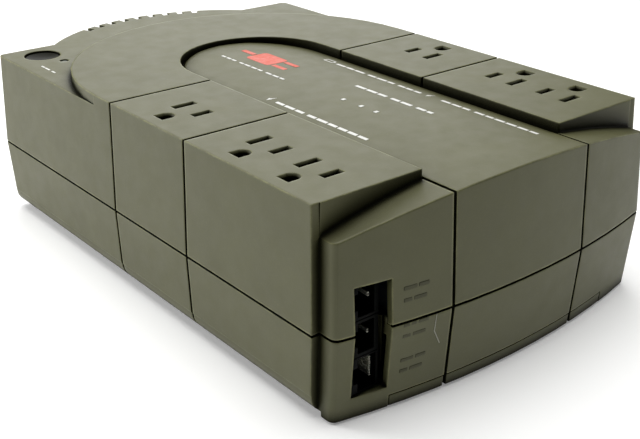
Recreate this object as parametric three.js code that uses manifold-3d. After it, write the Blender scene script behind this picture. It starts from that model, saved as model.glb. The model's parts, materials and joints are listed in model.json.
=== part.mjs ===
// Uninterruptible power supply: a moulded two-part housing with six outlets, a port recess,
// a vented far end, a sliding battery door and the parts that it holds inside.
// Millimetres. X is the width, Y the length (ports at -Y, vents at +Y), Z is up from the floor.
import * as THREE from 'three';
import { mergeVertices } from 'three/addons/utils/BufferGeometryUtils.js';
import Module from 'manifold-3d';

const wasm = await Module();
wasm.setup();

// ---- driving dimensions -----------------------------------------------------------------
const BASE_Z = 1; // underside of the housing, above the floor
const PART_Z = 34.5; // parting plane between the two covers
const TOP_Z = 80.6; // top of the outlet rows
const HALF_W = 84.35; // half width at the parting plane
const END_Y = -138.9; // middle of the curved port end
const END_R = 346; // plan radius of the port end
const BLOCK_HALF_W = 81; // half width of the port end block
const STEP_Y = -121.8; // shoulder between the outlet rows' sides and the end block
const FAR_Y = 115.9; // flat parts of the far end
const BULGE_Y = 60.2; // centre of the vented bulge
const BULGE_R = 78.7;
const CORNER_R = 3;
const WALL = 2.5;
const GAP = 0.3; // clearance between neighbouring pieces
const OVER = 1; // how far a cutting shape passes what it cuts
const REACH = 2 * HALF_W; // past every side of the housing

const UPPER_TAPER = { x: 0.00045, y: 0.000265 }; // share of the width and length lost per mm of height
const LOWER_TAPER = { x: -0.00036, y: -0.00064 }; // the lower cover grows towards the parting plane
const EDGE_R = 9; // rounding of the long lower edges

const ROW_INNER_X = 35.5; // inner walls of the outlet rows
const ROW_END_Y = -120.7;
const WELL_Y = 21.6; // centre of the round end of the sunken panel
const CROWN_DROP = 1.9; // middle of the panel, below the outlet rows
const CROWN_R = 325; // cross radius of the panel and the end block
const PLATEAU_R = 82.5; // far edge of the outlet plateau, about the same centre
const TERRACE_DROP = 4.3; // far terrace, below the plateau

const GROOVE_W = 1.3;
const GROOVE_D = 1.3;
const ROW_GROOVES_Y = [7.85, -46.2];
const END_GROOVE_X = 34.4;
const CHANNEL_W = 1.8; // around the sunken panel; the end grooves carry it on
const SEAM_W = 1;
const SEAM_D = 0.9;

const OUTLET_X = 61.4; // line through the blade slots
const OUTLETS_Y = [-19.4, -69.8, -98];
const BLADE_PITCH = 12.7;
const GROUND_X = OUTLET_X + 11.9;
const SLOT_W = 2.6;
const NEUTRAL_L = 9.3;
const LINE_L = 7.8;
const GROUND = { r: 2.8, outer: 3.3 }; // round towards the blades, square on the outer side
const LEAD_IN = { width: 0.5, depth: 0.9 }; // sloped edge around every outlet hole

const PORT_X = [-73.4, -59.5];
const PORT_Z = [9.5, 52.1];
const JACK_X = [-73.1, -60.9];

const BUTTON = { x: -67.2, y: 101.2, r: 7.9, travel: 1.4, below: 0.8, flange: 1.2, flangeT: 1.6, stem: 2 };
const DISH = { r: 20.4, depth: 1.4, half: 0.36 }; // hollow of the button's top; half is its half angle
const LIGHT = { x: -63.2, y: 87, r: 1.7, below: 0.4, flange: 1, flangeDrop: 3 };

const DOOR_X = [-58.2, 57.2];
const DOOR_Y = 22;
const DOOR_T = 2.5;
const DOOR_HEEL = 8; // thick part of the door behind its lip
const LIP_Z = 5.6;
const LIP_REACH = 20; // the lip lies within this distance of the end face's middle
const BATTERY = {
  x: -3.15, y0: -129, length: 151, width: 94, height: 65, lid: 5, lidInset: 1.5,
  notch: { half: 7, depth: 8, height: 12 },
};

const VENTS = { count: 9, pitch: 0.1055, middle: Math.PI / 2 - 0.03, width: 3.2, depth: 12, bottom: 42 };
const SCREWS = [[-68, 20], [68, 20], [-42, 114], [42, 114]];
const FEET = [[-67, 96], [67, 96], [-67, -100], [67, -100]];
const FOOT_R = 5.5;
const FOOT_SEAT = 1;
const POST = {
  r: 4.2, pilot: 1.3, pilotL: 14, bottom: PART_Z + 1, boss: 5, hole: 1.9, head: 3.6, seat: 22,
};
const SCREW = { shank: 1, head: 3.1, headT: 2.4, top: PART_Z + 12 };
const KEYHOLE = { x: 20, ys: [52, 92], head: 4.5, neck: 2, length: 9 };
const RIM_TOP = BASE_Z + 2 * DOOR_T + GAP; // ledge that the door slides under
const BAY = { room: 1, wall: 1.8, rim: 4, start: 8, below: 4 }; // walls around the battery

const TERRACE_Z = TOP_Z - TERRACE_DROP;
const STEM_L = 6; // stem under the power button
const SWITCH_TOP = TERRACE_Z - WALL - 2 * GAP - STEM_L - BUTTON.travel;
const SWITCH_H = 4.5;
const SWITCH = { half: 3, plunger: 1.7, proud: 1 };
const BOARD_T = 1.6;
const BUTTON_BOARD = { x: [-75.2, -55.2], y: [81, 109.2] };
const FAR_WALL_Y = [FAR_Y - 2 * WALL, FAR_Y + 5];
const BREAKER = {
  x: 68, z: 54, r: 5, front: FAR_Y - WALL - 4, halfX: 7, halfZ: 9, length: 28, bore: 2.4, boreL: 8,
};
const PLUNGER = { stem: 2, back: 5, out: 3, head: BREAKER.r - 2 * GAP, overlap: 0.5, proud: 1.5 };
const GLAND = { x: 68, z: 19, r: 7.5, neck: 6, bore: 4, inner: 7, outer: 3, flange: 2 };

const PORT_DEPTH = 17;
const PORT_FRONT_Y = endFaceY(PORT_X[0]) + 2.8;
const JACK = { mouth: 13, outerWall: 3.2, latch: [1.2, 4], latchHalf: 3 };
const PIN = { half: 0.22, x: [1.2, 0.5], y: [2.3, 12] };
const PIN_BAR = { x: 1.3, y: [11, 12.7] };
const JACK_BOARD = { side: 4, below: 3, above: 6 };
const TONGUE = { x: [PORT_X[1], -51], z: [30, 36.8], t: 1.3 }; // lip that laps the seam from inside
const PORTS = [
  { name: 'phone_jack_in', z: [38.25, 51.7], socket: 11.4, wall: 1.9, contacts: 2, pitch: 1.02 },
  { name: 'phone_jack_out', z: [24.15, 37.95], socket: 11.4, wall: 1.9, contacts: 2, pitch: 1.02 },
  { name: 'data_port', z: [9.8, 23.85], socket: 12.7, wall: 1, contacts: 9, pitch: 0.9 },
];
const CARRIER = { x: [53.5, 79], ends: 12, z: [60, TOP_Z - WALL - GAP], room: 0.8 };
const BUS = { z: [57, 57.9], ends: 9, top: 71, armHalf: 1.8, armEnd: 2.2 };
const CLIP = { half: 2, leaf: 0.6, leaves: [-1.8, 1.2] };
const BUS_X = { neutral: [55.4, 57.6], line: [65.6, 67.8], ground: [GROUND_X - 1.1, GROUND_X + 1.1] };

const BATTERY_Z = [BASE_Z + DOOR_T + GAP, BASE_Z + DOOR_T + GAP + BATTERY.height];
const BATTERY_X = [BATTERY.x - BATTERY.width / 2, BATTERY.x + BATTERY.width / 2];
const TERMINAL = { x: 34, half: 3.2, t: 0.8, low: 11, high: 3, foot: 6 }; // x is from the middle
const CORE = { x: [4.5, 58.5], y: [42, 98], z: [6, 62], limb: 10, ends: 12 };
const COIL_END = 2; // the coil's end, inside the core's y range
const STRAP = { t: 1.2, bottom: 4, foot: 7, ends: 20 };
const BOARD = { x: [-76, 2], y: [34, 108], z: [13, 13 + BOARD_T] };
const BOARD_PEGS = [[-70, 40], [-4, 40], [-70, 102], [-4, 102]];
const PEG_R = 3;
const ON_BOARD = BOARD.z[1] + GAP;
const SINK = { x: [-72, -10], y: [92, 94.5], height: 38, finY: [94, 101], finT: 1.2, pitch: 7.4 };
const TRANSISTOR = { x: -66, pitch: 15, width: 10, y: [87, 91.7], z: [5, 20] };
const LEG = { at: [2, 5, 8], half: 0.4, y: [89, 89.6], top: 6 };
const RELAY = { x: -70, pitch: 24, width: 19, y: [44, 59.5], height: 15.5 };
const CAPACITOR = { x: -16, y: 48, pitch: 19, r: 8, height: 25, dentR: 5.5, dent: 0.8 };
const BUZZER = { x: -64, y: 74, r: 6, height: 9, holeR: 1.2, hole: 1 };

const COLOURS = {
  shell: [0x5b594c, 0.62, 0],
  door: [0x575548, 0.62, 0],
  button: [0x3c3b34, 0.5, 0],
  lens: [0x9fb59a, 0.25, 0],
  dark: [0x161714, 0.55, 0],
  insulator: [0x2a2b28, 0.6, 0],
  brass: [0xb08d4c, 0.35, 1],
  gold: [0xc9a550, 0.3, 1],
  battery: [0x2d3138, 0.55, 0],
  lead: [0x9a9c9e, 0.4, 1],
  steel: [0x8b8f92, 0.4, 1],
  copper: [0x8f4a2a, 0.4, 1],
  board: [0x2c5a35, 0.5, 0],
  relay: [0x24466e, 0.5, 0],
  rubber: [0x1b1b1a, 0.9, 0],
};

// ---- making solids ----------------------------------------------------------------------
function solid(geometry) {
  const bare = geometry.index ? geometry.toNonIndexed() : geometry.clone();
  bare.deleteAttribute('normal');
  bare.deleteAttribute('uv');
  const merged = mergeVertices(bare, 1e-4);
  const vertProperties = new Float32Array(merged.attributes.position.array);
  const triVerts = new Uint32Array(merged.index.array);
  return new wasm.Manifold(new wasm.Mesh({ numProp: 3, vertProperties, triVerts }));
}

function meshOf(name, manifold, look) {
  const data = manifold.getMesh();
  const geometry = new THREE.BufferGeometry();
  geometry.setAttribute('position', new THREE.BufferAttribute(data.vertProperties, 3));
  geometry.setIndex(new THREE.BufferAttribute(data.triVerts, 1));
  geometry.computeVertexNormals();
  const [color, roughness, metalness] = COLOURS[look];
  const mesh = new THREE.Mesh(geometry, new THREE.MeshStandardMaterial({ color, roughness, metalness }));
  mesh.name = name;
  return mesh;
}

function box(x, y, z) {
  const geometry = new THREE.BoxGeometry(x[1] - x[0], y[1] - y[0], z[1] - z[0]);
  geometry.translate((x[0] + x[1]) / 2, (y[0] + y[1]) / 2, (z[0] + z[1]) / 2);
  return solid(geometry);
}

function disc(x, y, r, z, sides = 24) {
  const geometry = new THREE.CylinderGeometry(r, r, z[1] - z[0], sides);
  geometry.rotateX(Math.PI / 2);
  geometry.translate(x, y, (z[0] + z[1]) / 2);
  return solid(geometry);
}

// A round bar along Y.
function rod(x, z, r, y, sides = 24) {
  const geometry = new THREE.CylinderGeometry(r, r, y[1] - y[0], sides);
  geometry.translate(x, (y[0] + y[1]) / 2, z);
  return solid(geometry);
}

function arc(cx, cy, r, from, to, steps) {
  const points = [];
  for (let i = 0; i <= steps; i += 1) {
    const angle = from + ((to - from) * i) / steps;
    points.push(new THREE.Vector2(cx + r * Math.cos(angle), cy + r * Math.sin(angle)));
  }
  return points;
}

function points(...pairs) {
  return pairs.map(([x, y]) => new THREE.Vector2(x, y));
}

function extrude(outline, depth) {
  return new THREE.ExtrudeGeometry(new THREE.Shape(outline), { depth, bevelEnabled: false });
}

// An outline in the XY plane, raised from z[0] to z[1].
function prismZ(outline, z) {
  const geometry = extrude(outline, z[1] - z[0]);
  geometry.translate(0, 0, z[0]);
  return geometry;
}

// An outline in the XZ plane, drawn along Y.
function prismY(outline, y) {
  const geometry = extrude(outline, y[1] - y[0]);
  geometry.rotateX(Math.PI / 2);
  geometry.translate(0, y[1], 0);
  return geometry;
}

function union(parts) {
  return parts.reduce((sum, part) => sum.add(part));
}

function bothSides(make) {
  return [-1, 1].flatMap((side) => make(side));
}

// Orders a pair so that a box can be given from the middle outwards on either side.
function span(side, inner, outer) {
  return side > 0 ? [inner, outer] : [-outer, -inner];
}

// ---- the housing's outer form -----------------------------------------------------------
function endFaceY(x, inset = 0) {
  return END_Y + END_R - Math.sqrt((END_R - inset) ** 2 - x * x);
}

function planOutline(inset) {
  const side = HALF_W - inset;
  const block = BLOCK_HALF_W - inset;
  const stepY = STEP_Y + inset;
  const farY = FAR_Y - inset;
  const bulgeR = BULGE_R - inset;
  const bulgeAngle = Math.asin((farY - BULGE_Y) / bulgeR);
  const roundX = block - CORNER_R;
  const roundY = endFaceY(roundX, inset) + CORNER_R;
  const faceAngle = Math.asin(roundX / (END_R - inset));
  const down = -Math.PI / 2;
  return [
    ...points([block, stepY], [side, stepY]),
    ...arc(side - CORNER_R, farY - CORNER_R, CORNER_R, 0, Math.PI / 2, 4),
    ...arc(0, BULGE_Y, bulgeR, bulgeAngle, Math.PI - bulgeAngle, 20),
    ...arc(-side + CORNER_R, farY - CORNER_R, CORNER_R, Math.PI / 2, Math.PI, 4),
    ...points([-side, stepY], [-block, stepY]),
    ...arc(-roundX, roundY, CORNER_R, Math.PI, 1.5 * Math.PI - faceAngle, 4).slice(0, -1),
    ...arc(0, END_Y + END_R, END_R - inset, down - faceAngle, down + faceAngle, 12),
    ...arc(roundX, roundY, CORNER_R, down + faceAngle, 0, 4).slice(1),
  ];
}

function tapered(geometry, taper) {
  const position = geometry.attributes.position;
  for (let i = 0; i < position.count; i += 1) {
    const height = position.getZ(i) - PART_Z;
    position.setX(i, position.getX(i) * (1 - taper.x * height));
    position.setY(i, position.getY(i) * (1 - taper.y * height));
  }
  return solid(geometry);
}

// What is cut away above the far terrace, beyond the round edge of the plateau.
function terraceCut(inset) {
  const edge = arc(0, WELL_Y, PLATEAU_R - inset, Math.PI, 0, 26);
  const rest = points([REACH, WELL_Y], [REACH, REACH], [-REACH, REACH]);
  const outline = [...points([-REACH, WELL_Y]), ...edge, ...rest];
  return solid(prismZ(outline.reverse(), [TOP_Z - TERRACE_DROP - inset, TOP_Z + OVER]));
}

// What is cut away above the crowned panel between the rows and above the end block.
function crownCut(inset) {
  const wide = ROW_INNER_X + inset;
  const endY = ROW_END_Y + inset;
  const region = [
    ...points([-REACH, -REACH], [REACH, -REACH], [REACH, endY], [wide, endY]),
    ...arc(0, WELL_Y, wide, 0, Math.PI, 20),
    ...points([-wide, endY], [-REACH, endY]),
  ];
  const crownZ = TOP_Z - CROWN_DROP - inset;
  const half = Math.asin(HALF_W / CROWN_R) * 1.1;
  const up = Math.PI / 2;
  const crown = arc(0, crownZ - CROWN_R, CROWN_R, up - half, up + half, 14);
  const above = [...crown, ...points([crown.at(-1).x, TOP_Z + OVER], [crown[0].x, TOP_Z + OVER])];
  return solid(prismZ(region, [PART_Z, TOP_Z + OVER])).intersect(solid(prismY(above, [-REACH, REACH])));
}

function upperForm(inset, bottomZ) {
  const full = tapered(prismZ(planOutline(inset), [bottomZ, TOP_Z - inset]), UPPER_TAPER);
  return full.subtract(terraceCut(inset)).subtract(crownCut(inset));
}

// The material outside the rounding of one long lower edge.
function lowerEdgeCut(side, inset) {
  const x = HALF_W * (1 - LOWER_TAPER.x * (BASE_Z - PART_Z)) - inset;
  const z = BASE_Z + inset;
  const round = arc(x - EDGE_R, z + EDGE_R, EDGE_R, 0, -Math.PI / 2, 7);
  const corner = points([x - EDGE_R, z - EDGE_R], [x + EDGE_R, z - EDGE_R], [x + EDGE_R, z + EDGE_R]);
  const outline = [...round, ...corner].map((point) => new THREE.Vector2(side * point.x, point.y));
  if (side > 0) {
    outline.reverse();
  }
  return solid(prismY(outline, [STEP_Y + inset + OVER, REACH]));
}

function lowerForm(inset, topZ) {
  const full = tapered(prismZ(planOutline(inset), [BASE_Z + inset, topZ]), LOWER_TAPER);
  return full.subtract(lowerEdgeCut(-1, inset)).subtract(lowerEdgeCut(1, inset));
}

// ---- grooves and seam, cut to an even depth ---------------------------------------------
// The bands run outwards from innerX on the long sides and from endY on the port end.
function grooveBands(innerX, endY) {
  const half = GROOVE_W / 2;
  const height = [0, TOP_Z + OVER];
  const across = ROW_GROOVES_Y.flatMap((y) =>
    bothSides((side) => [box(span(side, innerX, REACH), [y - half, y + half], height)]));
  const along = bothSides((side) => [
    box(span(side, END_GROOVE_X - half, END_GROOVE_X + half), [-REACH, endY], height)]);
  return union([...across, ...along]);
}

function channelBand() {
  const z = [PART_Z, TOP_Z + OVER];
  const inner = ROW_INNER_X - CHANNEL_W;
  const ring = disc(0, WELL_Y, ROW_INNER_X, z, 40).subtract(disc(0, WELL_Y, inner, z, 40));
  const sides = bothSides((side) => [box(span(side, inner, ROW_INNER_X), [ROW_END_Y, WELL_Y], z)]);
  return ring.intersect(box([-HALF_W, HALF_W], [WELL_Y, REACH], z)).add(union(sides));
}

const UPPER_BANDS = grooveBands(ROW_INNER_X, ROW_END_Y).add(channelBand());
const LOWER_BANDS = grooveBands(HALF_W - EDGE_R, END_Y + EDGE_R);

function seamBand() {
  return box([-REACH, REACH], [-REACH, REACH], [PART_Z - SEAM_W / 2, PART_Z + SEAM_W / 2]);
}

function scored(form, bands, innerForm, seamInner) {
  return form.subtract(bands.subtract(innerForm)).subtract(seamBand().subtract(seamInner));
}

// ---- openings in the covers -------------------------------------------------------------
// side is -1 for the left row, whose neutral slot is the far one, and 1 for the right row.
function outletSlots(side, z, extra = 0) {
  return OUTLETS_Y.flatMap((y) => {
    const slot = (length, centreY) => box(
      span(side, OUTLET_X - length / 2 - extra, OUTLET_X + length / 2 + extra),
      [centreY - SLOT_W / 2 - extra, centreY + SLOT_W / 2 + extra], z);
    const neutralY = y - (side * BLADE_PITCH) / 2;
    const lineY = y + (side * BLADE_PITCH) / 2;
    const r = GROUND.r + extra;
    const round = disc(side * GROUND_X, y, r, z, 16);
    const square = box(span(side, GROUND_X, GROUND_X + GROUND.outer + extra), [y - r, y + r], z);
    return [slot(NEUTRAL_L, neutralY), slot(LINE_L, lineY), round, square];
  });
}

// A box around the top surface that is LEAD_IN.width wider on each side where it meets that surface.
function flared(x, y) {
  const z = [TOP_Z - LEAD_IN.depth, TOP_Z + LEAD_IN.depth];
  const geometry = new THREE.BoxGeometry(x[1] - x[0], y[1] - y[0], z[1] - z[0]);
  const position = geometry.attributes.position;
  for (let i = 0; i < position.count; i += 1) {
    if (position.getZ(i) > 0) {
      position.setX(i, position.getX(i) + Math.sign(position.getX(i)) * 2 * LEAD_IN.width);
      position.setY(i, position.getY(i) + Math.sign(position.getY(i)) * 2 * LEAD_IN.width);
    }
  }
  geometry.translate((x[0] + x[1]) / 2, (y[0] + y[1]) / 2, (z[0] + z[1]) / 2);
  return solid(geometry);
}

function flaredRound(x, y, r) {
  const geometry = new THREE.CylinderGeometry(r + 2 * LEAD_IN.width, r, 2 * LEAD_IN.depth, 16);
  geometry.rotateX(Math.PI / 2);
  geometry.translate(x, y, TOP_Z);
  return solid(geometry);
}

function outletLeadIns(side) {
  const half = SLOT_W / 2;
  return OUTLETS_Y.flatMap((y) => {
    const slot = (length, centreY) => flared(
      span(side, OUTLET_X - length / 2, OUTLET_X + length / 2), [centreY - half, centreY + half]);
    return [
      slot(NEUTRAL_L, y - (side * BLADE_PITCH) / 2),
      slot(LINE_L, y + (side * BLADE_PITCH) / 2),
      flaredRound(side * GROUND_X, y, GROUND.r),
      flared(span(side, GROUND_X, GROUND_X + GROUND.outer), [y - GROUND.r, y + GROUND.r]),
    ];
  });
}

function portCut() {
  return box(PORT_X, [-REACH, endFaceY(PORT_X[0]) + 3 * WALL], PORT_Z);
}

function ventCuts() {
  const slots = [];
  for (let i = 0; i < VENTS.count; i += 1) {
    const angle = VENTS.middle + (i - (VENTS.count - 1) / 2) * VENTS.pitch;
    const geometry = new THREE.BoxGeometry(VENTS.depth, VENTS.width, TOP_Z - VENTS.bottom);
    geometry.translate(BULGE_R, 0, (TOP_Z + VENTS.bottom) / 2);
    geometry.rotateZ(angle);
    geometry.translate(0, BULGE_Y, 0);
    slots.push(solid(geometry));
  }
  return union(slots);
}

// ---- covers -----------------------------------------------------------------------------
function topCover() {
  const start = PART_Z + GAP / 2;
  const outer = upperForm(0, start);
  const closed = scored(outer, UPPER_BANDS, upperForm(GROOVE_D, 0), upperForm(SEAM_D, 0));
  const shell = closed.subtract(upperForm(WALL, 0));
  const roomForPosts = upperForm(WALL / 2, 0);
  const posts = SCREWS.map(([x, y]) =>
    disc(x, y, POST.r, [POST.bottom, TOP_Z], 16).intersect(roomForPosts));
  const pilotZ = [POST.bottom - OVER, POST.bottom + POST.pilotL];
  const pilots = SCREWS.map(([x, y]) => disc(x, y, POST.pilot, pilotZ, 10));
  const slots = bothSides((side) => [
    ...outletSlots(side, [TOP_Z - 2 * WALL, TOP_Z + OVER]), ...outletLeadIns(side)]);
  const wells = [
    disc(BUTTON.x, BUTTON.y, BUTTON.r + GAP, [PART_Z, TOP_Z]),
    disc(LIGHT.x, LIGHT.y, LIGHT.r + GAP, [PART_Z, TOP_Z], 16),
    rod(BREAKER.x, BREAKER.z, BREAKER.r + GAP, FAR_WALL_Y),
  ];
  return shell.add(union(posts)).subtract(union([...pilots, ...slots, ...wells, portCut(), ventCuts()]));
}

function doorSeat() {
  const x = [DOOR_X[0] - GAP, DOOR_X[1] + GAP];
  const plate = box(x, [-REACH, DOOR_Y + GAP], [0, BASE_Z + DOOR_T + GAP]);
  const lipZone = box(x, [-REACH, 0], [0, LIP_Z + GAP]);
  return plate.add(lipZone.subtract(lowerForm(WALL + GAP, PART_Z)));
}

function bayRim() {
  const z = [BASE_Z + WALL / 2, RIM_TOP];
  const rim = box([DOOR_X[0] - BAY.rim, DOOR_X[1] + BAY.rim], [END_Y, DOOR_Y + BAY.rim + BAY.room], z);
  return rim.intersect(lowerForm(WALL / 2, PART_Z));
}

function bayOpening() {
  const x = [BATTERY_X[0] - BAY.room, BATTERY_X[1] + BAY.room];
  const y = [BATTERY.y0 - BAY.room, BATTERY.y0 + BATTERY.length + BAY.room];
  return box(x, y, [BASE_Z + DOOR_T, RIM_TOP + OVER]);
}

function bayWalls() {
  const z = [BASE_Z + DOOR_T + 2 * GAP, PART_Z - BAY.below];
  const left = BATTERY_X[0] - BAY.room;
  const right = BATTERY_X[1] + BAY.room;
  const y = [BATTERY.y0 + BAY.start, BATTERY.y0 + BATTERY.length + BAY.room];
  return [
    box([left - BAY.wall, left], y, z),
    box([right, right + BAY.wall], y, z),
    box([left - BAY.wall, right + BAY.wall], [y[1], y[1] + BAY.wall], z),
  ];
}

function keyhole(y) {
  const z = [0, BASE_Z + WALL + OVER];
  const { x, head, neck, length } = KEYHOLE;
  const slot = box([x - neck, x + neck], [y, y + length], z);
  return [disc(x, y, head, z, 16), slot, disc(x, y + length, neck, z, 12)];
}

// Part of the lower cover's lip, which is seen at the edge of the port opening.
function seamTongue() {
  const far = WALL + GAP + TONGUE.t;
  const zone = box(TONGUE.x, [-REACH, STEP_Y], TONGUE.z);
  const root = lowerForm(WALL / 2, PART_Z - GAP).subtract(lowerForm(far, PART_Z));
  const lip = upperForm(WALL + GAP, BASE_Z).subtract(upperForm(far, 0));
  return root.add(lip).intersect(zone);
}

function bottomCover() {
  const end = PART_Z - GAP / 2;
  const outer = lowerForm(0, end);
  const closed = scored(outer, LOWER_BANDS, lowerForm(GROOVE_D, TOP_Z), lowerForm(SEAM_D, TOP_Z));
  const shell = closed.subtract(lowerForm(WALL, TOP_Z));
  const bosses = SCREWS.map(([x, y]) => disc(x, y, POST.boss, [BASE_Z + OVER, POST.bottom - GAP], 16));
  const pegs = BOARD_PEGS.map(([x, y]) => disc(x, y, PEG_R, [BASE_Z + OVER, BOARD.z[0] - GAP], 12));
  const holes = SCREWS.flatMap(([x, y]) => [
    disc(x, y, POST.hole, [0, POST.bottom + OVER], 12), disc(x, y, POST.head, [0, POST.seat], 16)]);
  const footSeats = FEET.map(([x, y]) => disc(x, y, FOOT_R + GAP, [0, BASE_Z + FOOT_SEAT], 20));
  const cuts = [
    ...holes, ...footSeats, ...KEYHOLE.ys.flatMap(keyhole), bayOpening(), portCut(),
    rod(GLAND.x, GLAND.z, GLAND.neck + GAP, FAR_WALL_Y)];
  const open = shell.subtract(doorSeat()).add(bayRim().subtract(doorSeat()));
  const inside = union([...bayWalls(), seamTongue()]);
  return open.add(union([...bosses, ...pegs])).subtract(union(cuts)).add(inside);
}

function batteryDoor() {
  const plate = box(DOOR_X, [END_Y + DOOR_HEEL, DOOR_Y], [BASE_Z, BASE_Z + DOOR_T]);
  const rim = lowerForm(0, PART_Z).subtract(lowerForm(WALL, PART_Z));
  const lip = rim.intersect(box(DOOR_X, [-REACH, END_Y + LIP_REACH], [0, LIP_Z]));
  const heelZone = box(DOOR_X, [END_Y - OVER, END_Y + DOOR_HEEL + OVER], [BASE_Z, BASE_Z + DOOR_T]);
  const heel = heelZone.intersect(lowerForm(0, PART_Z));
  const grooves = LOWER_BANDS.subtract(lowerForm(GROOVE_D, TOP_Z));
  return union([plate, heel, lip]).subtract(grooves);
}

function foot([x, y]) {
  return disc(x, y, FOOT_R, [0, BASE_Z + FOOT_SEAT - GAP], 20);
}

function coverScrew([x, y]) {
  const seat = POST.seat - GAP;
  const head = disc(x, y, SCREW.head, [seat - SCREW.headT, seat], 16);
  return head.add(disc(x, y, SCREW.shank, [seat - OVER, SCREW.top], 10));
}

// ---- button, light and breaker ----------------------------------------------------------
function powerButton() {
  const rim = TERRACE_Z - BUTTON.below;
  const lowest = -Math.PI / 2;
  const dish = arc(0, rim - DISH.depth + DISH.r, DISH.r, lowest, lowest + DISH.half, 6);
  const under = TERRACE_Z - WALL - GAP;
  const foot = under - STEM_L;
  const flangeZ = under - BUTTON.flangeT;
  const wide = BUTTON.r + BUTTON.flange;
  const profile = [
    ...points([0, foot], [BUTTON.stem, foot], [BUTTON.stem, flangeZ], [wide, flangeZ]),
    ...points([wide, under], [BUTTON.r, under], [BUTTON.r, rim]),
    ...dish.reverse(),
  ];
  profile.at(-1).x = 0;
  const geometry = new THREE.LatheGeometry(profile, 28);
  geometry.rotateX(Math.PI / 2);
  geometry.translate(BUTTON.x, BUTTON.y, 0);
  return solid(geometry);
}

function powerSwitch() {
  const { half, plunger, proud } = SWITCH;
  const z = [SWITCH_TOP - SWITCH_H, SWITCH_TOP - proud];
  const body = box([BUTTON.x - half, BUTTON.x + half], [BUTTON.y - half, BUTTON.y + half], z);
  return body.add(disc(BUTTON.x, BUTTON.y, plunger, [SWITCH_TOP - 2 * proud, SWITCH_TOP], 12));
}

function buttonBoard() {
  const top = SWITCH_TOP - SWITCH_H - GAP;
  return box(BUTTON_BOARD.x, BUTTON_BOARD.y, [top - BOARD_T, top]);
}

function statusLight() {
  const board = SWITCH_TOP - SWITCH_H;
  const flangeTop = TERRACE_Z - WALL - LIGHT.flangeDrop;
  return disc(LIGHT.x, LIGHT.y, LIGHT.r, [board, TERRACE_Z - LIGHT.below], 16)
    .add(disc(LIGHT.x, LIGHT.y, LIGHT.r + LIGHT.flange, [board, flangeTop], 16));
}

function breakerBody() {
  const { x, z, front, halfX, halfZ, length, bore, boreL } = BREAKER;
  return box([x - halfX, x + halfX], [front - length, front], [z - halfZ, z + halfZ])
    .subtract(rod(x, z, bore, [front - boreL, front + OVER], 16));
}

function breakerButton() {
  const { x, z, front } = BREAKER;
  const headBack = front + PLUNGER.out - PLUNGER.overlap;
  return rod(x, z, PLUNGER.stem, [front - PLUNGER.back, front + PLUNGER.out], 16)
    .add(rod(x, z, PLUNGER.head, [headBack, FAR_Y + PLUNGER.proud]));
}

function cordGland() {
  const { x, z, r, inner, outer } = GLAND;
  const wall = FAR_Y * (1 - LOWER_TAPER.y * (z - PART_Z));
  const neck = rod(x, z, GLAND.neck, [wall - inner, wall + outer - OVER]);
  const flange = rod(x, z, r, [wall + outer - GLAND.flange, wall + outer]);
  const collar = rod(x, z, r, [wall - inner, wall - WALL - OVER]);
  const bore = rod(x, z, GLAND.bore, [wall - inner - OVER, wall + outer + OVER], 16);
  return union([neck, flange, collar]).subtract(bore);
}

// ---- ports ------------------------------------------------------------------------------
function portMiddle(port) {
  return (port.z[0] + port.z[1]) / 2;
}

function portJack(port) {
  const z = portMiddle(port);
  const half = port.socket / 2;
  const body = box(JACK_X, [PORT_FRONT_Y, PORT_FRONT_Y + PORT_DEPTH], port.z);
  const mouth = [PORT_FRONT_Y - OVER, PORT_FRONT_Y + JACK.mouth];
  const main = box([JACK_X[0] + JACK.outerWall, JACK_X[1] - port.wall], mouth, [z - half, z + half]);
  const latchX = JACK.latch.map((at) => JACK_X[0] + at);
  return body.subtract(main).subtract(box(latchX, mouth, [z - JACK.latchHalf, z + JACK.latchHalf]));
}

function portContacts(port) {
  const z = portMiddle(port);
  const count = port.contacts;
  const half = (count * port.pitch) / 2;
  const wall = JACK_X[1] - port.wall;
  const barY = PIN_BAR.y.map((at) => PORT_FRONT_Y + at);
  const pinX = PIN.x.map((at) => wall - at);
  const pinY = PIN.y.map((at) => PORT_FRONT_Y + at);
  const pins = [];
  for (let i = 0; i < count; i += 1) {
    const at = z + (i - (count - 1) / 2) * port.pitch;
    pins.push(box(pinX, pinY, [at - PIN.half, at + PIN.half]));
  }
  return box([wall - PIN_BAR.x, wall - GAP], barY, [z - half, z + half]).add(union(pins));
}

function jackBoard() {
  const { side, below, above } = JACK_BOARD;
  const y = PORT_FRONT_Y + PORT_DEPTH + GAP;
  return box([PORT_X[0] - side, PORT_X[1] + side], [y, y + BOARD_T], [PORT_Z[0] - below, PORT_Z[1] + above]);
}

// ---- outlets ----------------------------------------------------------------------------
function outletCarrier(side) {
  const y = [OUTLETS_Y.at(-1) - CARRIER.ends, OUTLETS_Y[0] + CARRIER.ends];
  const pockets = outletSlots(side, [CARRIER.z[0] - OVER, CARRIER.z[1] + OVER], CARRIER.room);
  return box(span(side, ...CARRIER.x), y, CARRIER.z).subtract(union(pockets));
}

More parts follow.
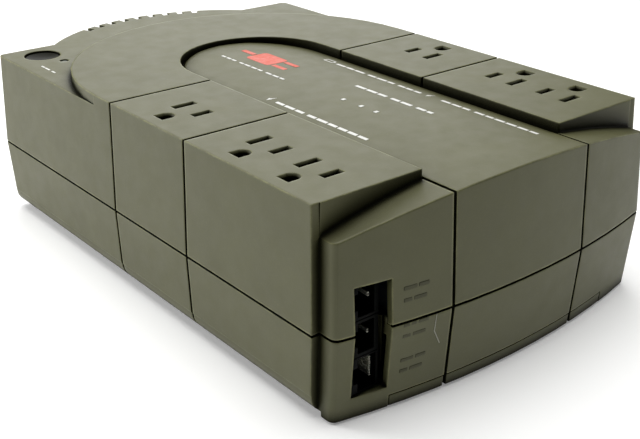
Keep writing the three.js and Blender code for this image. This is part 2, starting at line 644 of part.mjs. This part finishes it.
// A strip with one springy clip per outlet; kind tells which slots it serves.
function contactBus(side, kind) {
  const strip = BUS_X[kind];
  const shift = { neutral: -side, line: side, ground: 0 }[kind] * (BLADE_PITCH / 2);
  const clipX = kind === 'ground' ? GROUND_X : OUTLET_X;
  const arm = [Math.min(strip[0], clipX - BUS.armEnd), Math.max(strip[1], clipX + BUS.armEnd)];
  const parts = [box(span(side, ...strip), [OUTLETS_Y.at(-1) - BUS.ends, OUTLETS_Y[0] + BUS.ends], BUS.z)];
  for (const y of OUTLETS_Y) {
    const at = y + shift;
    parts.push(box(span(side, ...arm), [at - BUS.armHalf, at + BUS.armHalf], BUS.z));
    for (const leaf of CLIP.leaves) {
      const leafY = [at + leaf, at + leaf + CLIP.leaf];
      parts.push(box(span(side, clipX - CLIP.half, clipX + CLIP.half), leafY, [BUS.z[0], BUS.top]));
    }
  }
  return union(parts);
}

// ---- battery ----------------------------------------------------------------------------
function battery() {
  const { lid, lidInset, notch } = BATTERY;
  const end = BATTERY.y0 + BATTERY.length;
  const body = box(BATTERY_X, [BATTERY.y0, end - lid], BATTERY_Z);
  const lidX = [BATTERY_X[0] + lidInset, BATTERY_X[1] - lidInset];
  const lidZ = [BATTERY_Z[0] + lidInset, BATTERY_Z[1] - lidInset];
  const notches = bothSides((side) => {
    const x = BATTERY.x + side * TERMINAL.x;
    const z = [BATTERY_Z[1] - notch.height, BATTERY_Z[1] + OVER];
    return [box([x - notch.half, x + notch.half], [end - notch.depth, end + OVER], z)];
  });
  return body.add(box(lidX, [end - lid - OVER, end], lidZ)).subtract(union(notches));
}

function batteryTerminal(side) {
  const { half, t, low, high, foot: footL } = TERMINAL;
  const middle = BATTERY.x + side * TERMINAL.x;
  const x = [middle - half, middle + half];
  const y = BATTERY.y0 + BATTERY.length - BATTERY.notch.depth + GAP;
  const bottom = BATTERY_Z[1] - low;
  return box(x, [y, y + t], [bottom, BATTERY_Z[1] - high]).add(box(x, [y, y + footL], [bottom, bottom + t]));
}

// ---- power electronics ------------------------------------------------------------------
function transformerCore() {
  const { x, y, z, limb, ends } = CORE;
  const middle = (x[0] + x[1]) / 2;
  const window = (across) => box(across, y, [z[0] + limb, z[1] - limb]);
  return box(x, [y[0] + ends, y[1] - ends], z)
    .subtract(window([x[0] + limb, middle - limb]))
    .subtract(window([middle + limb, x[1] - limb]));
}

function transformerCoil() {
  const { x, y, limb, ends } = CORE;
  const middle = (x[0] + x[1]) / 2;
  const z = [CORE.z[0] + limb + GAP, CORE.z[1] - limb - GAP];
  const outer = box([x[0] + limb + GAP, x[1] - limb - GAP], [y[0] + COIL_END, y[1] - COIL_END], z);
  const inner = box(
    [middle - limb - GAP, middle + limb + GAP], [y[0] + ends - GAP, y[1] - ends + GAP],
    [z[0] - OVER, z[1] + OVER]);
  return outer.subtract(inner);
}

function transformerStrap() {
  const { t, bottom } = STRAP;
  const x = [CORE.x[0] - GAP - t, CORE.x[1] + GAP + t];
  const y = [CORE.y[0] + STRAP.ends, CORE.y[1] - STRAP.ends];
  const insideY = [y[0] - OVER, y[1] + OVER];
  const top = CORE.z[1] + GAP;
  const hoop = box(x, y, [bottom, top + t]);
  const inside = box([x[0] + t, x[1] - t], insideY, [bottom - OVER, top]);
  const feet = [[x[0] - STRAP.foot, x[0] + t / 2], [x[1] - t / 2, x[1] + STRAP.foot]];
  return union([hoop.subtract(inside), ...feet.map((footX) => box(footX, y, [bottom, bottom + t]))]);
}

function heatSink() {
  const z = [ON_BOARD, ON_BOARD + SINK.height];
  const fins = [];
  for (let x = SINK.x[0] + OVER; x < SINK.x[1] - OVER; x += SINK.pitch) {
    fins.push(box([x, x + SINK.finT], SINK.finY, z));
  }
  return box(SINK.x, SINK.y, z).add(union(fins));
}

function transistor(index) {
  const x = TRANSISTOR.x + index * TRANSISTOR.pitch;
  const z = TRANSISTOR.z.map((height) => ON_BOARD + height);
  const legs = LEG.at.map((at) =>
    box([x + at - LEG.half, x + at + LEG.half], LEG.y, [ON_BOARD, ON_BOARD + LEG.top]));
  return box([x, x + TRANSISTOR.width], TRANSISTOR.y, z).add(union(legs));
}

function relay(index) {
  const x = RELAY.x + index * RELAY.pitch;
  return box([x, x + RELAY.width], RELAY.y, [ON_BOARD, ON_BOARD + RELAY.height]);
}

function capacitor(index) {
  const { x, pitch, r, height, dentR, dent } = CAPACITOR;
  const y = CAPACITOR.y + index * pitch;
  const top = ON_BOARD + height;
  return disc(x, y, r, [ON_BOARD, top]).subtract(disc(x, y, dentR, [top - dent, top + OVER]));
}

function buzzer() {
  const { x, y, r, height, holeR, hole } = BUZZER;
  const top = ON_BOARD + height;
  return disc(x, y, r, [ON_BOARD, top]).subtract(disc(x, y, holeR, [top - hole, top + OVER], 10));
}

// ---- assembly ---------------------------------------------------------------------------
const ups = new THREE.Group();

function place(name, manifold, look) {
  ups.add(meshOf(name, manifold, look));
}

place('top_cover', topCover(), 'shell');
place('bottom_cover', bottomCover(), 'shell');
place('battery_door', batteryDoor(), 'door');
place('power_button', powerButton(), 'button');
place('power_switch', powerSwitch(), 'dark');
place('button_board', buttonBoard(), 'board');
place('status_light', statusLight(), 'lens');
place('breaker_body', breakerBody(), 'dark');
place('breaker_button', breakerButton(), 'dark');
place('cord_gland', cordGland(), 'rubber');
place('jack_board', jackBoard(), 'board');
for (const port of PORTS) {
  place(port.name, portJack(port), 'dark');
  place(`${port.name}_contacts`, portContacts(port), 'gold');
}
for (const [side, row] of [[-1, 'left'], [1, 'right']]) {
  place(`${row}_outlet_carrier`, outletCarrier(side), 'insulator');
  for (const kind of ['line', 'neutral', 'ground']) {
    place(`${row}_${kind}_bus`, contactBus(side, kind), 'brass');
  }
}
place('battery', battery(), 'battery');
place('battery_terminal_left', batteryTerminal(-1), 'lead');
place('battery_terminal_right', batteryTerminal(1), 'lead');
place('transformer_core', transformerCore(), 'steel');
place('transformer_coil', transformerCoil(), 'copper');
place('transformer_strap', transformerStrap(), 'steel');
place('main_board', box(BOARD.x, BOARD.y, BOARD.z), 'board');
place('heat_sink', heatSink(), 'steel');
for (let i = 0; i < 4; i += 1) {
  place(`transistor_${i + 1}`, transistor(i), 'dark');
}
for (let i = 0; i < 2; i += 1) {
  place(`relay_${i + 1}`, relay(i), 'relay');
  place(`capacitor_${i + 1}`, capacitor(i), 'dark');
}
place('buzzer', buzzer(), 'dark');
SCREWS.forEach((at, i) => place(`cover_screw_${i + 1}`, coverScrew(at), 'steel'));
FEET.forEach((at, i) => place(`foot_${i + 1}`, foot(at), 'rubber'));

export default ups;
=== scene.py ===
import json
import math

import bpy
from mathutils import Matrix, Vector


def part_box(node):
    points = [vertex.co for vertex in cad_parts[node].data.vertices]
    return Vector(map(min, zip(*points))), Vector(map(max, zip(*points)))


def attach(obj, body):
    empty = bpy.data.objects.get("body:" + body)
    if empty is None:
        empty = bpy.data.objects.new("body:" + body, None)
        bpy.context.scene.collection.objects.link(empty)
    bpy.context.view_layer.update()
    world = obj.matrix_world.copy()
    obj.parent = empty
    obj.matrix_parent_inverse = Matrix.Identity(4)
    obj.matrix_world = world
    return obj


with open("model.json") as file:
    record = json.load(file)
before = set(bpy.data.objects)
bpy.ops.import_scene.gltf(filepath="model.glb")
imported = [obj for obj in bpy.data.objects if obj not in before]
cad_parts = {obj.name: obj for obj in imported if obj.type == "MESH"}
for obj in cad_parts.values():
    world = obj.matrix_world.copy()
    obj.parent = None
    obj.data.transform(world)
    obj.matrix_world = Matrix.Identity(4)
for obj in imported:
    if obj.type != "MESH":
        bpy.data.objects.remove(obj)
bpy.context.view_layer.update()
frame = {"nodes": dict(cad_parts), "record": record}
MM = 0.001

# ---- the camera: its place, its right, up and back directions, and its lens ------------------
CAMERA_AT = Vector((-0.26792, -0.35873, 0.21546))
CAMERA_AXES = (
    (0.76331, -0.64602, 0.00354),
    (0.26058, 0.31289, 0.91334),
    (-0.59115, -0.69624, 0.40717),
)
LENS_MM = 60.02
SENSOR_MM = 36.0
SHIFT = (-0.0519, -0.0239)
CLIP_START = 0.01

# ---- the housing's form in millimetres, so that the printed marks lie on it -------------------
LOW, HIGH = (Vector(corner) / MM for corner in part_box("top_cover"))
TOP_Z = HIGH.z
END_Y = LOW.y
PART_Z = LOW.z
END_R = 346.0
CROWN_R = 325.0
CROWN_DROP = 1.9
TERRACE_DROP = 4.3
UPPER_TAPER_Y = 0.000265  # how far the port end draws in per mm over the seam, as a share
LOWER_TAPER_Y = -0.00064  # the same under it, negative because it draws in downwards


def panel_z(x):
    """Height of the crowned middle panel."""
    return TOP_Z - CROWN_DROP - CROWN_R + math.sqrt(CROWN_R**2 - x * x)


def end_y(x, z):
    """Front of the curved port end."""
    face = END_Y + END_R - math.sqrt(END_R**2 - x * x)
    taper = UPPER_TAPER_Y if z > PART_Z else LOWER_TAPER_Y
    return face * (1 - taper * (z - PART_Z))


# ---- materials -------------------------------------------------------------------------------
MIX_FACTOR, MIX_A, MIX_B = 0, 6, 7  # the sockets of a mix node that mixes colours
MIX_RESULT = 2
AO_SAMPLES = 12
BEVEL_SAMPLES = 8

# Painted shade where surfaces crowd: reach in metres, the openness that counts as shut and as
# open, the most darkening, and whether only the piece itself counts.
CORNER_SHADE = (0.008, 0.48, 0.93, 0.97, False)
RECESS_SHADE = (0.016, 0.5, 0.93, 0.97, True)
GROOVE_SHADE = (0.004, 0.66, 0.99, 0.99, False)
DARKEST = 0.97

# Scale, detail and roughness of each noise, and the stretch of its values that is used.
MOTTLE = (55, 5, 0.6, 0.35, 0.65)
SPECKS = (1300, 2, 0.5, 0.56, 0.74)
HIGHLIGHT_PATCHES = (120, 4, 0.7, 0.38, 0.6)
PLASTIC_SHEEN = (140, 3, 0.5, 0.3, 0.7)
METAL_TONE = (90, 4, 0.5, 0.35, 0.65)
METAL_SHEEN = (260, 4, 0.5, 0.3, 0.7)
INK_COVER = (1500, 3, 0.5, 0.35, 0.62)
INK_SHEEN = (500, 3, 0.5, 0.3, 0.7)

# Scale, detail and roughness of the noises that only make bumps.
COARSE_GRAIN = (800, 2, 0.5)
FINE_GRAIN = (2600, 2, 0.5)
SCRATCHES = (1900, 4, 0.7)
INK_GRAIN = (2200, 2, 0.5)
FLOOR_TONE = (6, 3, 0.5)

# Colours of specks, of the painted edge highlight and of the painted shade, as multiples of a
# plastic's own.
SPECK_SHADE = 1.3
HIGHLIGHT_TONE = 3
PAINTED_SHADE_TONE = 0.05
SPECKS_MOST = 0.3
HIGHLIGHT_PATCHES_LEAST = 0.25
SHADED_SHINE = 0.02
EDGE_START, EDGE_FULL = 0.995, 0.8  # cosine between the rounded direction and the flat one
COARSER = 1.5  # depth of the coarse grain, as a multiple of the fine one's
COARSE_STRENGTH, FINE_STRENGTH = 0.2, 0.4

# The other materials: how deep their finest marks are, in metres, and how strong.
FINE_DEPTH = 0.00002
SCRATCH_STRENGTH, INK_STRENGTH = 0.5, 0.4
METAL_DULL, METAL_BRIGHT = 0.82, 1.08
INK_THIN = 0.86
INK_ROUGHNESS = (0.4, 0.6)
PLASTIC_SPREAD = (-0.03, 0.04)  # what the sheen takes off and adds to the roughness
METAL_SPREAD = (-0.08, 0.14)


class Nodes:
    """Short names for building one material's node tree."""

    def __init__(self, name):
        self.material = bpy.data.materials.new(name)
        self.material.use_nodes = True
        self.tree = self.material.node_tree
        self.shader = self.tree.nodes["Principled BSDF"]
        self.place = self.add("ShaderNodeTexCoord").outputs["Object"]

    def add(self, kind, **values):
        node = self.tree.nodes.new(kind)
        for key, value in values.items():
            setattr(node, key, value)
        return node

    def link(self, a, b):
        self.tree.links.new(a, b)

    def noise(self, scale, detail, roughness):
        node = self.add("ShaderNodeTexNoise")
        node.inputs["Scale"].default_value = scale
        node.inputs["Detail"].default_value = detail
        node.inputs["Roughness"].default_value = roughness
        self.link(self.place, node.inputs["Vector"])
        return node.outputs["Fac"]

    def remap(self, value, low, high, to_low, to_high):
        node = self.add("ShaderNodeMapRange")
        self.link(value, node.inputs["Value"])
        node.inputs["From Min"].default_value = low
        node.inputs["From Max"].default_value = high
        node.inputs["To Min"].default_value = to_low
        node.inputs["To Max"].default_value = to_high
        return node.outputs["Result"]

    def layer(self, scale, detail, roughness, low, high, to_low=0.0, to_high=1.0):
        """A noise whose values from low to high become to_low to to_high."""
        return self.remap(self.noise(scale, detail, roughness), low, high, to_low, to_high)

    def mix(self, factor, a, b):
        node = self.add("ShaderNodeMix", data_type="RGBA")
        self.link(factor, node.inputs[MIX_FACTOR])
        for socket, value in ((node.inputs[MIX_A], a), (node.inputs[MIX_B], b)):
            if isinstance(value, bpy.types.NodeSocket):
                self.link(value, socket)
            else:
                socket.default_value = (*value, 1)
        return node.outputs[MIX_RESULT]

    def combine(self, operation, a, b):
        node = self.add("ShaderNodeMath", operation=operation)
        self.link(a, node.inputs[0])
        self.link(b, node.inputs[1])
        return node.outputs[0]

    def closeness(self, reach, shut, wide, most, own_piece):
        """The most where surfaces crowd within reach, none on open ones."""
        node = self.add("ShaderNodeAmbientOcclusion", samples=AO_SAMPLES, only_local=own_piece)
        node.inputs["Distance"].default_value = reach
        return self.remap(node.outputs["AO"], shut, wide, most, 0.0)

    def painted_shade(self):
        """Painted shade in corners, on walls over a ledge of the same piece and in narrow grooves.
        """
        corners = self.combine("MAXIMUM", self.closeness(*CORNER_SHADE), self.closeness(*RECESS_SHADE))
        return self.combine("MAXIMUM", corners, self.closeness(*GROOVE_SHADE))

    def rounded(self, radius):
        """The surface direction as if its edges had this radius."""
        node = self.add("ShaderNodeBevel", samples=BEVEL_SAMPLES)
        node.inputs["Radius"].default_value = radius
        return node.outputs["Normal"]

    def edges(self, rounded, most):
        """Where the rounded direction leaves the flat one, which is at the edges."""
        dot = self.add("ShaderNodeVectorMath", operation="DOT_PRODUCT")
        self.link(rounded, dot.inputs[0])
        self.link(self.add("ShaderNodeNewGeometry").outputs["Normal"], dot.inputs[1])
        return self.remap(dot.outputs["Value"], EDGE_START, EDGE_FULL, 0.0, most)

    def bump(self, height, distance, strength, before=None):
        node = self.add("ShaderNodeBump")
        node.inputs["Strength"].default_value = strength
        node.inputs["Distance"].default_value = distance
        self.link(height, node.inputs["Height"])
        if before:
            self.link(before, node.inputs["Normal"])
        return node.outputs["Normal"]


def shade(colour, factor):
    return tuple(min(channel * factor, 1) for channel in colour)


def around(value, spread):
    return [value + change for change in spread]


def moulded(name, colour, roughness=0.5, edge_highlight=0.3, grain=0.00005, spread=0.04, edge=0.0003,
            shine=0.33):
    """Moulded plastic: slight mottling, spark-eroded grain, painted edge highlight, painted shade.
    """
    n = Nodes(name)
    # painted shade: the colour darkens and the shine drops where surfaces crowd into corners,
    # recesses and grooves
    painted_shade = n.painted_shade()
    n.link(n.remap(painted_shade, 0, DARKEST, shine, SHADED_SHINE), n.shader.inputs["Specular IOR Level"])
    base = n.mix(n.layer(*MOTTLE), shade(colour, 1 - spread), shade(colour, 1 + spread))
    speckled = n.mix(n.layer(*SPECKS, 0, SPECKS_MOST), base, shade(colour, SPECK_SHADE))
    rounded = n.rounded(edge)
    # painted highlight: a paler colour along the edges, broken into patches
    patchy_highlight = n.combine("MULTIPLY", n.edges(rounded, edge_highlight), n.layer(*HIGHLIGHT_PATCHES, HIGHLIGHT_PATCHES_LEAST, 1))
    highlighted = n.mix(patchy_highlight, speckled, shade(colour, HIGHLIGHT_TONE))
    n.link(n.mix(painted_shade, highlighted, shade(colour, PAINTED_SHADE_TONE)), n.shader.inputs["Base Color"])
    sheen = n.layer(*PLASTIC_SHEEN, *around(roughness, PLASTIC_SPREAD))
    n.link(sheen, n.shader.inputs["Roughness"])
    coarse = n.bump(n.noise(*COARSE_GRAIN), grain * COARSER, COARSE_STRENGTH, rounded)
    fine = n.bump(n.noise(*FINE_GRAIN), grain, FINE_STRENGTH, coarse)
    n.link(fine, n.shader.inputs["Normal"])
    return n.material


def metal(name, colour, roughness=0.32):
    """Bare metal with fine scratches and dull patches."""
    n = Nodes(name)
    n.shader.inputs["Metallic"].default_value = 1.0
    tone = n.mix(n.layer(*METAL_TONE), shade(colour, METAL_DULL), shade(colour, METAL_BRIGHT))
    n.link(tone, n.shader.inputs["Base Color"])
    sheen = n.layer(*METAL_SHEEN, *around(roughness, METAL_SPREAD))
    n.link(sheen, n.shader.inputs["Roughness"])
    scratches = n.bump(n.noise(*SCRATCHES), FINE_DEPTH, SCRATCH_STRENGTH)
    n.link(scratches, n.shader.inputs["Normal"])
    return n.material


def ink(name, colour):
    """Screen-printed ink, slightly uneven."""
    n = Nodes(name)
    tone = n.mix(n.layer(*INK_COVER), shade(colour, INK_THIN), colour)
    n.link(tone, n.shader.inputs["Base Color"])
    n.link(n.layer(*INK_SHEEN, *INK_ROUGHNESS), n.shader.inputs["Roughness"])
    n.link(n.bump(n.noise(*INK_GRAIN), FINE_DEPTH, INK_STRENGTH), n.shader.inputs["Normal"])
    return n.material


LOOKS = {
    "shell": moulded("shell_plastic", (0.091, 0.0905, 0.0365), edge_highlight=0.9, edge=0.0013, shine=0.42),
    "door": moulded("door_plastic", (0.087, 0.0865, 0.0345), 0.52, 0.9, edge=0.0007, shine=0.42),
    "button": moulded("button_plastic", (0.014, 0.014, 0.009), 0.42, 0.5, 0.00002,
                      edge=0.0005, shine=0.1),
    "lens": moulded("light_lens", (0.14, 0.155, 0.115), 0.22, 0.1, 0.00001),
    "dark": moulded("dark_plastic", (0.003, 0.0034, 0.003), 0.6, 0.2, 0.00002, shine=0.08),
    "insulator": moulded("insulator_plastic", (0.012, 0.012, 0.011), 0.55, 0.2),
    "brass": metal("brass_strip", (0.62, 0.43, 0.18)),
    "gold": metal("plated_contact", (0.95, 0.92, 0.8), 0.5),
    "battery": moulded("battery_case", (0.035, 0.04, 0.05), 0.5, 0.5),
    "lead": metal("tinned_tab", (0.55, 0.56, 0.58)),
    "steel": metal("plain_steel", (0.42, 0.43, 0.45), 0.38),
    "copper": metal("enamelled_copper", (0.45, 0.16, 0.06), 0.3),
    "board": moulded("circuit_board", (0.03, 0.12, 0.045), 0.35, 0.5, 0.00002, 0.25),
    "relay": moulded("relay_case", (0.03, 0.09, 0.22), 0.3, 0.4, 0.00002),
    "rubber": moulded("foot_rubber", (0.02, 0.02, 0.02), 0.75, 0.2, 0.00008),
}
WHITE_INK = ink("white_ink", (0.72, 0.72, 0.68))
RED_INK = ink("red_ink", (0.62, 0.075, 0.03))
DEBOSSED = moulded("debossed_mark", (0.06, 0.06, 0.027), 0.58, 0.1)
SCRATCH = moulded("pale_scratch", (0.3, 0.3, 0.24), 0.6, 0.1)


# ---- the CAD nodes: real bevels and their own material --------------------------------------
BEVELS_MM = {
    "top_cover": 0.3, "bottom_cover": 0.3, "battery_door": 0.4, "power_button": 0.45,
    "battery": 1.2, "cord_gland": 0.5, "transformer_core": 0.4, "transformer_coil": 1.4,
}
SMALL_BEVEL_MM = 0.18
BEVEL_SEGMENTS = 3
BEVEL_ANGLE = math.radians(28)
FLAT_ANGLE = math.radians(0.6)
WELD_DISTANCE = 2e-6


def smooth_group():
    """A modifier's node group that shades smooth, so that the CAD mesh itself stays as it is."""
    group = bpy.data.node_groups.new("smooth_shading", "GeometryNodeTree")
    group.interface.new_socket("Geometry", in_out="INPUT", socket_type="NodeSocketGeometry")
    group.interface.new_socket("Geometry", in_out="OUTPUT", socket_type="NodeSocketGeometry")
    smooth = group.nodes.new("GeometryNodeSetShadeSmooth")
    group.links.new(group.nodes.new("NodeGroupInput").outputs[0], smooth.inputs["Geometry"])
    group.links.new(smooth.outputs["Geometry"], group.nodes.new("NodeGroupOutput").inputs[0])
    return group


SMOOTH = smooth_group()


def soften(piece, width):
    """Joins the split vertices, drops flat edges, smooths the shading and rounds sharp edges."""
    weld = piece.modifiers.new("weld", "WELD")
    weld.merge_threshold = WELD_DISTANCE
    flat = piece.modifiers.new("flat", "DECIMATE")
    flat.decimate_type = "DISSOLVE"
    flat.angle_limit = FLAT_ANGLE
    piece.modifiers.new("smooth", "NODES").node_group = SMOOTH
    bevel = piece.modifiers.new("bevel", "BEVEL")
    bevel.width = width
    bevel.segments = BEVEL_SEGMENTS
    bevel.limit_method = "ANGLE"
    bevel.angle_limit = BEVEL_ANGLE
    bevel.use_clamp_overlap = True
    bevel.harden_normals = True
    piece.modifiers.new("normals", "WEIGHTED_NORMAL").keep_sharp = True


def finish_cad_nodes():
    slots = {part["node"]: part["material_slot"] for part in frame["record"]["subparts"]}
    for name, piece in frame["nodes"].items():
        piece.material_slots[0].link = "OBJECT"
        piece.material_slots[0].material = LOOKS[slots[name]]
        soften(piece, BEVELS_MM.get(name, SMALL_BEVEL_MM) * MM)


# ---- printed marks, in millimetres: x then y on the top, x then z on the port end -------------
PRINT_T = 0.06
PRINT_LIFT = 0.03
WORD_GAP = 2  # as a multiple of the gap between dashes

PLUG_AT = (-1, 33)
PLUG_W, PLUG_L, PLUG_R = 12, 17, 2
PLUG_GAP = 1
PLUG_PIN_L = 9
PLUG_BLADE_W = 2.4
PLUG_BLADE_INSET = 1.4  # from the body's sides
PLUG_TAIL_W = 2.6
CORNER_STEPS = 4

BOLT = ((1.0, -0.62), (0.42, -0.1), (0.5, -0.5), (0.0, -0.2), (0.52, -0.02), (0.46, -0.36))
BOLT_SIZE = 4.2
BOLTS_AT = ((-27.6, -20), (25.4, -58))

BATTERY_AT = (26, 9)
BATTERY_L, BATTERY_W = 6, 3.1
STROKE = 0.5
TIP_GAP, TIP_L, TIP_W = 0.1, 0.7, 1.1

DOTS_AT = ((-6, -42), (-6, -53), (-6, -62))
DOT_L, DOT_W = 1.6, 1.9

# The start of each line of words, the dashes of its words, their height and the gap between.
PANEL_LINES = (
    ((-8, 41), ((3, 3, 3), (3, 4, 4, 3), (4, 4, 3)), 1.1, 1),
    ((-27, -26), ((5, 6, 5), (5, 6, 5, 5, 5, 5)), 1.5, 0.9),
    ((26, 0), ((6, 5, 6), (5, 6, 4), (4, 4, 4)), 1.5, 0.9),
    ((26, -67), ((5, 5, 4), (5, 4, 5, 5, 5, 4)), 1.5, 0.9),
    ((10, -32), ((6, 6, 5), (5, 6), (5, 3)), 1.7, 1),
)
BUTTON_WORDS = ((3, 4), (3,))
BUTTON_WORDS_FROM_LIGHT = (-9.5, 1)
BUTTON_WORDS_H, BUTTON_WORDS_GAP = 0.9, 0.8

PORT_MARK_X = 6  # from the jack's side
PORT_MARK_H = 1.2
PORT_MARK_GAP = 1
PORT_MARK_ROWS = ((2.2, (5, 4)), (-2.2, (3, 5)))  # height over the jack's middle, lengths

SCRATCH_OUTLINE = (
    (-41.4, 34.0), (-41.7, 34.0), (-42.1, 27.0), (-39.2, 21.0), (-38.8, 21.2), (-41.6, 27.0),
)


def prism(name, outlines, to_point, material):
    """One piece of thin raised shapes: to_point puts (a, b, lift) on the housing, in mm."""
    vertices, faces = [], []
    for outline in outlines:
        start, count = len(vertices), len(outline)
        for lift in (PRINT_LIFT - PRINT_T, PRINT_LIFT):
            vertices += [Vector(to_point(a, b, lift)) * MM for a, b in outline]
        faces.append([start + count + i for i in range(count)])
        faces.append([start + count - 1 - i for i in range(count)])
        for i in range(count):
            j = (i + 1) % count
            faces.append([start + i, start + j, start + count + j, start + count + i])
    mesh = bpy.data.meshes.new(name)
    mesh.from_pydata(vertices, [], faces)
    mesh.update()
    mesh.materials.append(material)
    piece = bpy.data.objects.new(name, mesh)
    bpy.context.collection.objects.link(piece)
    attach(piece, "housing")


def on_panel(x, y, lift):
    return x, y, panel_z(x) + lift


def on_terrace(x, y, lift):
    return x, y, TOP_Z - TERRACE_DROP + lift


def on_end(x, z, lift):
    return x, end_y(x, z) - lift, z


def bar(a, b, length, height):
    """A mark that starts at (a, b), runs towards -b and stands up towards +a."""
    return [(a, b), (a, b - length), (a + height, b - length), (a + height, b)]


def dashes(a, b, words, height, gap):
    """Words shown as plain dashes, with no letters."""
    shapes = []
    for word in words:
        for length in word:
            shapes.append(bar(a, b, length, height))
            b -= length + gap
        b -= WORD_GAP * gap
    return shapes


def bolt(a, b):
    """A plain lightning bolt, the usual sign for mains power."""
    return [(a + BOLT_SIZE * u, b + BOLT_SIZE * v) for u, v in BOLT]


def plug(a, b):
    """A generic plug: a rounded body, two blades and a tail."""
    near, far = -PLUG_GAP - PLUG_R, PLUG_R - PLUG_GAP - PLUG_L
    middles = ((PLUG_W - PLUG_R, near), (PLUG_R, near), (PLUG_R, far), (PLUG_W - PLUG_R, far))
    body = []
    for quarter, (middle_a, middle_b) in enumerate(middles):
        for step in range(CORNER_STEPS + 1):
            turn = math.radians(90 * (quarter + step / CORNER_STEPS))
            across = middle_a + PLUG_R * math.cos(turn)
            along = middle_b + PLUG_R * math.sin(turn)
            body.append((a + across, b + along))
    blade_b = b - PLUG_L - 2 * PLUG_GAP
    blades = [bar(a + at, blade_b, PLUG_PIN_L, PLUG_BLADE_W)
              for at in (PLUG_BLADE_INSET, PLUG_W - PLUG_BLADE_INSET - PLUG_BLADE_W)]
    tail = bar(a + (PLUG_W - PLUG_TAIL_W) / 2, b + PLUG_PIN_L, PLUG_PIN_L, PLUG_TAIL_W)
    return [body, *blades, tail]


def battery_outline(a, b):
    """An outlined battery made of four strokes and a tip."""
    sides = [bar(a + at, b, BATTERY_L, STROKE) for at in (0, BATTERY_W - STROKE)]
    ends = [bar(a, b - at, STROKE, BATTERY_W) for at in (0, BATTERY_L - STROKE)]
    tip = bar(a + (BATTERY_W - TIP_W) / 2, b - BATTERY_L - TIP_GAP, TIP_L, TIP_W)
    return [*sides, *ends, tip]


def printed_marks():
    prism("plug_symbol", plug(*PLUG_AT), on_panel, RED_INK)
    marks = [bolt(*at) for at in BOLTS_AT]
    marks += battery_outline(*BATTERY_AT)
    for at, words, height, gap in PANEL_LINES:
        marks += dashes(*at, words, height, gap)
    marks += [bar(*at, DOT_L, DOT_W) for at in DOTS_AT]
    prism("panel_marks", marks, on_panel, WHITE_INK)
    light = Vector(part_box("status_light")[0]) / MM
    across, along = BUTTON_WORDS_FROM_LIGHT
    words = dashes(light.x + across, light.y + along, BUTTON_WORDS, BUTTON_WORDS_H, BUTTON_WORDS_GAP)
    prism("button_marks", words, on_terrace, WHITE_INK)


def port_mark(x, middle, length):
    low, high = middle - PORT_MARK_H / 2, middle + PORT_MARK_H / 2
    return [(x, low), (x + length, low), (x + length, high), (x, high)]


def debossed_marks():
    shapes = []
    for jack in ("phone_jack_in", "phone_jack_out", "data_port"):
        low, high = (Vector(corner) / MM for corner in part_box(jack))
        for row, lengths in PORT_MARK_ROWS:
            x = high.x + PORT_MARK_X
            for length in lengths:
                shapes.append(port_mark(x, (low.z + high.z) / 2 + row, length))
                x += length + PORT_MARK_GAP
    prism("port_marks", shapes, on_end, DEBOSSED)
    prism("end_scratch", [SCRATCH_OUTLINE], on_end, SCRATCH)


# ---- the room, in metres -------------------------------------------------------------------------
FLOOR_REACH = 4.0
FLOOR_TONES = ((0.88, 0.88, 0.87), (0.91, 0.91, 0.9))
FLOOR_ROUGHNESS = 0.7
FLOOR_GLOW = 0.2
WORLD_GLOW = 0.004
LAMP_AIM = Vector((0, 0, 0.03))
LAMPS = (  # name, place, diameter, watts
    ("overhead", (0, 0.1, 1.5), 1.4, 26),
    ("behind", (0.75, 1.1, 0.6), 1.2, 8),
    ("left", (-0.6, 0.75, 0.4), 0.4, 5.6),
    ("right", (1.2, -0.7, 0.5), 0.7, 0.8),
    ("far_right", (1.4, -0.4, 0.5), 0.7, 3.6),
)


def area_light(name, at, size, watts):
    lamp = bpy.data.lights.new(name, "AREA")
    lamp.shape = "DISK"
    lamp.size = size
    lamp.energy = watts
    holder = bpy.data.objects.new(name, lamp)
    holder.location = at
    holder.rotation_euler = (LAMP_AIM - Vector(at)).to_track_quat("-Z", "Y").to_euler()
    bpy.context.collection.objects.link(holder)


def make_floor():
    mesh = bpy.data.meshes.new("floor")
    reach = FLOOR_REACH
    corners = [(-reach, -reach, 0), (reach, -reach, 0), (reach, reach, 0), (-reach, reach, 0)]
    mesh.from_pydata(corners, [], [(0, 1, 2, 3)])
    n = Nodes("pale_floor")
    n.shader.inputs["Roughness"].default_value = FLOOR_ROUGHNESS
    n.shader.inputs["Emission Color"].default_value = (1, 1, 1, 1)
    n.shader.inputs["Emission Strength"].default_value = FLOOR_GLOW
    n.link(n.mix(n.noise(*FLOOR_TONE), *FLOOR_TONES), n.shader.inputs["Base Color"])
    mesh.materials.append(n.material)
    floor = bpy.data.objects.new("floor", mesh)
    bpy.context.collection.objects.link(floor)


def light_room():
    world = bpy.data.worlds.new("studio")
    world.use_nodes = True
    world.node_tree.nodes["Background"].inputs["Color"].default_value = (1, 1, 1, 1)
    world.node_tree.nodes["Background"].inputs["Strength"].default_value = WORLD_GLOW
    bpy.context.scene.world = world
    for lamp in LAMPS:
        area_light(*lamp)


def make_camera():
    data = bpy.data.cameras.new("camera")
    data.lens = LENS_MM
    data.sensor_width = SENSOR_MM
    data.sensor_fit = "HORIZONTAL"
    data.shift_x, data.shift_y = SHIFT
    data.clip_start = CLIP_START
    camera = bpy.data.objects.new("camera", data)
    turn = Matrix(CAMERA_AXES).transposed().to_4x4()
    camera.matrix_world = Matrix.Translation(CAMERA_AT) @ turn
    bpy.context.collection.objects.link(camera)
    bpy.context.scene.camera = camera


make_camera()
finish_cad_nodes()
printed_marks()
debossed_marks()
make_floor()
light_room()
bpy.context.scene.view_settings.view_transform = "Standard"
